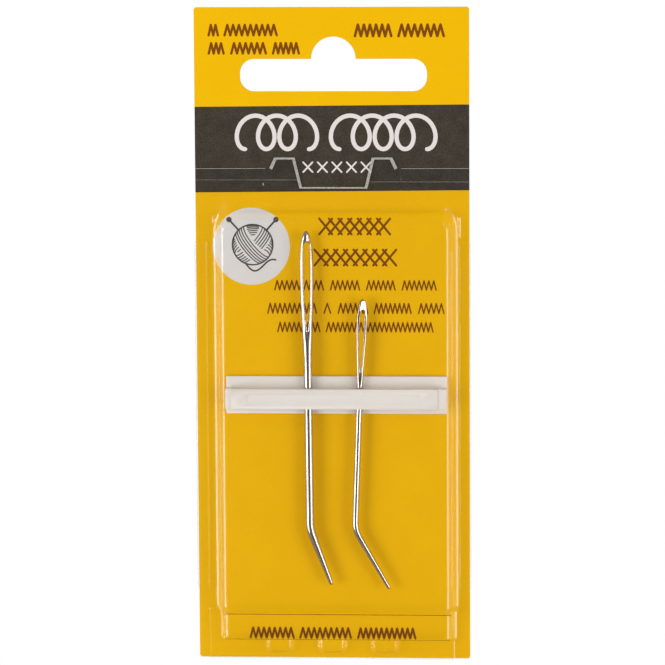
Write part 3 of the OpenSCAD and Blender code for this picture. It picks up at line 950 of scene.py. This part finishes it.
TIP_RINGS = 9


def head_half(a, nose_l, wide_at, head_l, half, shaft_r):
    """Half of a head's width or thickness, a down from its crown."""
    a = np.asarray(a, float)
    nose = half * np.sqrt(np.clip(1 - (1 - np.minimum(a, nose_l) / nose_l) ** 3, 0, None))
    share = np.clip((a - wide_at) / (head_l - wide_at), 0, 1)
    blend = half + (shaft_r - half) * (1 - np.cos(math.pi * share)) / 2
    return np.where(a < wide_at, nose, blend)


def eye_side(n):
    """Right side of the eye from its round upper end to its pointed lower end, as (x, a) points."""
    top_r = n["eye_w"] / 2
    upper = [(top_r * math.sin(t), top_r * (1 - math.cos(t)))
             for t in np.linspace(0, math.pi / 2, END_STEPS + 1)]
    start = top_r / n["eye_l"]
    lower = [(top_r * (1 - s ** EYE_TAPER), n["eye_l"] * s)
             for s in start + (1 - start) * np.sin(np.linspace(0, math.pi / 2, SIDE_STEPS + 1))]
    return np.array(upper + lower[1:]) + np.array([0, n["eye_top"]])


def head_loops(n):
    """Matching points round the eye and round the head, from the crown clockwise.

    The powers draw the outline's points up to the crown at one end and down to the shaft at
    the other.
    """
    eye = eye_side(n)
    low_end = eye[-1, 1]
    share = (eye[:, 1] - n["eye_top"]) / n["eye_l"]
    spread = np.linspace(0, 1, len(eye))
    a_head = eye[:, 1] - n["eye_top"] * (1 - share) ** 3 * (1 - spread) ** 6
    a_head = a_head + (n["head_l"] - low_end) * spread ** 8
    a_head[0] = 0
    a_head[-1] = n["head_l"]
    half_w = head_half(a_head, n["wide_at"], n["wide_at"], n["head_l"], n["head_w"] / 2, n["d"] / 2)
    head = np.stack([half_w, a_head], -1)
    turn = math.pi * np.arange(1, JOIN_STEPS) / JOIN_STEPS
    head_low = np.stack([n["d"] / 2 * np.cos(turn), np.full(len(turn), float(n["head_l"]))], -1)
    eye_low = np.repeat(eye[-1:], len(turn), 0)
    mirror = np.array([-1, 1])
    eye_loop = np.concatenate([eye, eye_low, (eye * mirror)[:0:-1]])
    head_loop = np.concatenate([head, head_low, (head * mirror)[:0:-1]])
    return eye_loop, head_loop


def groove_depth(n, x, a):
    """How deep the groove below the eye lies under the head's face."""
    low_end = n["eye_top"] + n["eye_l"]
    run = np.clip((a - low_end + n["groove"] / 3) / (n["groove"] * 4 / 3), 0, 1)
    half = n["eye_w"] / 2 * GROOVE_W
    across = np.clip(1 - (x / half) ** 2, 0, 1) ** 2
    return GROOVE_DEPTH * n["head_t"] * across * np.sin(math.pi * np.sqrt(run)) ** 2


def head_points(n):
    """Front face of the head between its eye and its outline."""
    eye, outline = head_loops(n)
    share = (1 - np.cos(math.pi * np.arange(RIM_STEPS + 1) / RIM_STEPS)) / 2
    flat = eye[None] + (outline - eye)[None] * share[:, None, None]
    x, a = flat[..., 0], flat[..., 1]
    half_w = head_half(a, n["wide_at"], n["wide_at"], n["head_l"], n["head_w"] / 2, n["d"] / 2)
    nose_l = n["wide_at"] * NOSE_SHARE
    half_t = head_half(a, nose_l, n["wide_at"], n["head_l"], n["head_t"] / 2, n["d"] / 2)
    apart = np.hypot(x[..., None] - eye[:, 0], a[..., None] - eye[:, 1]).min(-1)
    edge = np.sqrt(1 - (1 - np.minimum(apart, n["rim"]) / n["rim"]) ** 2)
    blend = np.clip((a - n["wide_at"]) / (n["head_l"] - n["wide_at"]), 0, 1)
    power = n["flat"] + (2 - n["flat"]) * blend
    across = np.clip(np.abs(x) / np.maximum(half_w, 1e-6), 0, 1)
    z = half_t * np.clip(1 - across ** power, 0, 1) ** (1 / power)
    z = np.maximum(z - groove_depth(n, x, a), 0.2 * z) * edge
    return np.stack([x, a, z], -1)


def shaft_points(n):
    """Rings of the shaft, the bend and the blunt tip, from the head down."""
    stations = [(0.0, s, n["d"] / 2, 0.0) for s in np.linspace(n["head_l"], n["straight"], SHAFT_RINGS)]
    bend = math.radians(n["bend"])
    for turn in np.linspace(0, bend, BEND_RINGS)[1:]:
        x = n["bend_r"] * (1 - math.cos(turn))
        a = n["straight"] + n["bend_r"] * math.sin(turn)
        stations.append((x, a, n["d"] / 2, turn))
    start_x, start_a = stations[-1][:2]
    taper = n["tip_l"] - n["point_d"] / 2
    point_r = n["point_d"] / 2
    for share in np.linspace(0, 1, TIP_RINGS)[1:]:
        radius = n["d"] / 2 + (point_r - n["d"] / 2) * share
        reach = taper * share
        stations.append((start_x + reach * math.sin(bend), start_a + reach * math.cos(bend), radius, bend))
    for turn in np.radians([15, 30, 45, 60, 75, 88]):
        reach = taper + point_r * math.sin(turn)
        stations.append((start_x + reach * math.sin(bend), start_a + reach * math.cos(bend),
                         point_r * math.cos(turn), bend))
    rings = []
    for x, a, radius, turn in stations:
        for k in range(2 * JOIN_STEPS):
            phase = math.pi * k / JOIN_STEPS
            across = radius * math.cos(phase)
            depth = radius * math.sin(phase)
            rings.append((x + across * math.cos(turn), a - across * math.sin(turn), depth))
    return np.array(rings), len(stations)


def needle(n, steel):
    """Smooth needle with a long eye, in one closed mesh."""
    front = head_points(n)
    rows, columns = front.shape[:2]
    back = front * np.array([1, 1, -1])
    rings, stations = shaft_points(n)
    local = np.concatenate([front.reshape(-1, 3), back.reshape(-1, 3), rings])
    sheet = rows * columns
    x, a, z = local[:2 * sheet].T.copy()
    roll = np.radians(n["roll"] + n["twist"] * np.clip((TWIST_END - a) / TWIST_L, 0, 1) ** 2)
    local[:2 * sheet, 0] = x * np.cos(roll) - z * np.sin(roll)
    local[:2 * sheet, 2] = x * np.sin(roll) + z * np.cos(roll)
    faces = grid_faces(rows, columns, close=True)
    faces += [tuple(reversed([sheet + i for i in face])) for face in faces]
    faces += grid_faces(stations, 2 * JOIN_STEPS, first=2 * sheet, close=True)
    faces.append(tuple(range(len(local) - 2 * JOIN_STEPS, len(local))))
    lean = math.radians(n["lean"])
    points = [at(n["x"] + x * math.cos(lean) + a * math.sin(lean),
                 n["top"] - x * math.sin(lean) + a * math.cos(lean), NEEDLE_DEPTH + z)
              for x, a, z in local]
    made = add_mesh(n["name"] + "_polished", points, faces, steel, merge_mm=0.002)
    face_outwards(made)
    shade_smooth(made)
    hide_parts(n["name"])
    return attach(made, n["body"])


# Needle holder

EASE = 0.09


def needle_holder(plastic):
    """The CAD holder with its edges eased, as a moulding's are."""
    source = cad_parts["needle_holder"]
    made = add_object("holder_moulding", source.data.copy(), plastic)
    work = bmesh.new()
    work.from_mesh(made.data)
    bmesh.ops.remove_doubles(work, verts=work.verts, dist=0.001 * MM)
    bmesh.ops.dissolve_limit(work, angle_limit=math.radians(1), verts=work.verts, edges=work.edges)
    work.to_mesh(made.data)
    work.free()
    ease = made.modifiers.new("ease", "BEVEL")
    ease.width = EASE * MM
    ease.segments = 3
    ease.limit_method = "ANGLE"
    ease.angle_limit = math.radians(20)
    ease.harden_normals = True
    bake_modifiers(made)
    shade_smooth(made, 40)
    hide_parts("needle_holder")
    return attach(made, "cover")


# Studio

CAMERA_AZIMUTH = 3.69
CAMERA_ELEVATION = 7.717
CAMERA_ROLL = -0.346
CAMERA_DISTANCE = 0.7956
CAMERA_TARGET = Vector((-0.000435, card_low.y, -0.054105))
FOCAL_PX = 4350.9
FRAME_PX = 665

# Light from all sides, and brightness of the room that shiny surfaces mirror
FILL = 0.52
FRONT_GLOW = 0.04
SIDE_GLOW = 0.3
BACK_GLOW = 0.05
BACK_SIDE_GLOW = 0.1
BACKDROP_GLOW = 0.9

# Where the reflected room changes: sideways in front and behind, and from front to back
FRONT_SPAN = (0.08, 0.3)
BACK_SPAN = (0.2, 0.7)
TURN_SPAN = (-0.1, 0.25)
BACKDROP_SPAN = (0.9, 0.98)

# Side lamps: height of their middle as seen from the pack, distance, and where they end
LAMP_ELEVATION = -3
LAMP_DISTANCE = 0.9
LAMP_HEIGHT = 0.56
NEAR_END = 62
FAR_AZIMUTH = 76
FAR_WIDTH = 0.52

# Lamps at each side: azimuth where the near one starts, and radiance of the near and far one
LAMPS = [("left", -1, 37, 5.0, 0.65), ("right", 1, 36, 3.5, 0.65)]

# Small lamp above: azimuth, elevation, width, height and radiance
UPPER_LAMP = (20, 40, 0.2, 0.4, 1.0)

FLOOR_GREY = srgb(238, 238, 236)
FLOOR_DROP = 0.1
FLOOR_RADIUS = 0.14
FLOOR_FADE = (0.07, 0.13)


def direction(azimuth, elevation):
    """Unit vector from the object towards a viewer, azimuth 0 being in front at -Y."""
    az, el = math.radians(azimuth), math.radians(elevation)
    return Vector((math.sin(az) * math.cos(el), -math.cos(az) * math.cos(el), math.sin(el)))


def add_camera():
    """Long lens in front of the pack, a little to its right and above, with a slight roll."""
    data = bpy.data.cameras.new("camera")
    data.sensor_width = 36
    data.lens = 36 * FOCAL_PX / FRAME_PX
    data.clip_start = 0.01
    data.clip_end = 20
    camera = bpy.data.objects.new("camera", data)
    bpy.context.scene.collection.objects.link(camera)
    away = direction(CAMERA_AZIMUTH, CAMERA_ELEVATION)
    right = Vector((0, 0, 1)).cross(away).normalized()
    up = away.cross(right)
    roll = math.radians(CAMERA_ROLL)
    right, up = (right * math.cos(roll) + up * math.sin(roll),
                 up * math.cos(roll) - right * math.sin(roll))
    turn = Matrix((right, up, away)).transposed().to_4x4()
    camera.matrix_world = Matrix.Translation(CAMERA_TARGET + away * CAMERA_DISTANCE) @ turn
    bpy.context.scene.camera = camera


def add_softbox(name, azimuth, elevation, width, height, radiance):
    """Flat lamp that faces the pack. Its power follows from the radiance and the area."""
    data = bpy.data.lights.new(name, "AREA")
    data.shape = "RECTANGLE"
    data.size = width
    data.size_y = height
    data.energy = radiance * math.pi * width * height
    lamp = bpy.data.objects.new(name, data)
    bpy.context.scene.collection.objects.link(lamp)
    centre = Vector((0, 0, (card_low.z + card_high.z) / 2))
    away = direction(azimuth, elevation)
    lamp.location = centre + away * LAMP_DISTANCE
    lamp.rotation_euler = away.to_track_quat("Z", "Y").to_euler()
    lamp.visible_camera = False


def add_world():
    """White to the camera, a soft fill, and a reflected room that is darkest straight ahead."""
    world = bpy.data.worlds.new("studio")
    bpy.context.scene.world = world
    world.use_nodes = True
    tree = world.node_tree
    nodes, link = tree.nodes, tree.links.new

    def combine(operation, first, second):
        made = nodes.new("ShaderNodeMath")
        made.operation = operation
        for socket, value in zip(made.inputs, (first, second)):
            if isinstance(value, (int, float)):
                socket.default_value = value
            else:
                link(value, socket)
        return made.outputs[0]

    def ramp(value, span, low, high):
        made = nodes.new("ShaderNodeMapRange")
        link(value, made.inputs["Value"])
        for socket, number in zip(list(made.inputs)[1:5], (*span, low, high)):
            socket.default_value = number
        return made.outputs["Result"]

    path = nodes.new("ShaderNodeLightPath").outputs
    split = nodes.new("ShaderNodeSeparateXYZ")
    link(nodes.new("ShaderNodeTexCoord").outputs["Generated"], split.inputs[0])
    aside = combine("ABSOLUTE", split.outputs["X"], 0)
    ahead = ramp(aside, FRONT_SPAN, FRONT_GLOW, SIDE_GLOW)
    behind = ramp(aside, BACK_SPAN, BACK_GLOW, BACK_SIDE_GLOW)
    turned = ramp(split.outputs["Y"], TURN_SPAN, 0.0, 1.0)
    room = combine("ADD", combine("MULTIPLY", ahead, combine("SUBTRACT", 1.0, turned)),
                   combine("MULTIPLY", behind, turned))
    backdrop = ramp(split.outputs["Y"], BACKDROP_SPAN, 0.0, BACKDROP_GLOW)
    seen = combine("MAXIMUM", path["Is Camera Ray"], path["Is Transmission Ray"])
    mirrored = combine("MULTIPLY", path["Is Glossy Ray"], combine("MAXIMUM", room, backdrop))
    direct = combine("MAXIMUM", seen, mirrored)
    other = combine("SUBTRACT", 1.0, combine("MAXIMUM", seen, path["Is Glossy Ray"]))
    strength = combine("ADD", direct, combine("MULTIPLY", other, FILL))
    background = nodes["Background"]
    background.inputs["Color"].default_value = (1, 1, 1, 1)
    link(strength, background.inputs["Strength"])


def floor_surface():
    """Pale floor that runs out to white for the camera, away from the pack."""
    s = Surface("floor", FLOOR_GREY, 0.6)
    s.color_from(s.shade(FLOOR_GREY, s.span(s.noise(40.0), 0.99, 1.01)))
    away = s.node("ShaderNodeVectorMath", operation="LENGTH")
    s.wire(s.coords, away.inputs[0])
    fade = s.span(away.outputs["Value"], 0.0, 1.0, *FLOOR_FADE)
    path = s.node("ShaderNodeLightPath").outputs
    seen = s.math("MAXIMUM", path["Is Camera Ray"], path["Is Transmission Ray"])
    white = s.node("ShaderNodeEmission")
    white.inputs["Strength"].default_value = 1.0
    blend = s.node("ShaderNodeMixShader")
    s.wire(s.math("MULTIPLY", fade, seen), blend.inputs[0])
    s.wire(s.shader.outputs[0], blend.inputs[1])
    s.wire(white.outputs[0], blend.inputs[2])
    s.wire(blend.outputs[0], s.tree.nodes["Material Output"].inputs["Surface"])
    return s.material


def add_floor():
    """Round floor below the hanging pack, which shiny surfaces don't mirror."""
    steps = 96
    rim = [2 * math.pi * i / steps for i in range(steps)]
    points = [(FLOOR_RADIUS * math.cos(a), FLOOR_RADIUS * math.sin(a), 0) for a in rim]
    floor = add_mesh("floor", points, [tuple(range(steps))], floor_surface())
    floor.location = (0, 0, cad_low.z - FLOOR_DROP)
    floor.visible_glossy = False


def add_studio():
    """Camera, world, floor and lamps. The side lamps lie in two strips at each side."""
    add_camera()
    add_world()
    add_floor()
    for name, side, start, near, far in LAMPS:
        width = math.radians(NEAR_END - start) * LAMP_DISTANCE
        middle = (start + NEAR_END) / 2
        add_softbox(name + "_near", side * middle, LAMP_ELEVATION, width, LAMP_HEIGHT, near)
        add_softbox(name + "_far", side * FAR_AZIMUTH, LAMP_ELEVATION, FAR_WIDTH, LAMP_HEIGHT, far)
    add_softbox("upper", *UPPER_LAMP)
    bpy.context.scene.view_settings.view_transform = "Standard"


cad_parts["backing_card"].material_slots[0].material = printed_board()
card_prints(dark=ink("dark_ink", srgb(66, 60, 51), 0.25),
            light=ink("light_ink", srgb(228, 220, 216), 0.02),
            brown=ink("brown_ink", srgb(128, 72, 14), 0.06),
            grey=ink("disc_ink", srgb(226, 222, 219), 0.02),
            drawing=ink("drawing_ink", srgb(84, 78, 78), 0.06))
slide_cover(clear_film())
# Pale film for the painted highlights on the cut edges, the glint and the crease, and dark film for the
# painted shade at the sharp bends
notch_edge_highlights(highlight_rims=painted_light_film("painted_rim_highlight", 0.3, 0.5),
           highlight_band=painted_light_film("painted_band_highlight", 0.22, 0.38),
           crease=painted_light_film("crease", 0.03, 0.12))
painted_shade_lines(painted_light_film("painted_bend_shade", 0.4, 0.6, PAINTED_BEND_SHADE))
needle_holder(white_plastic())
steel = plated_steel()
needle(LARGE, steel)
needle(SMALL, steel)
add_studio()
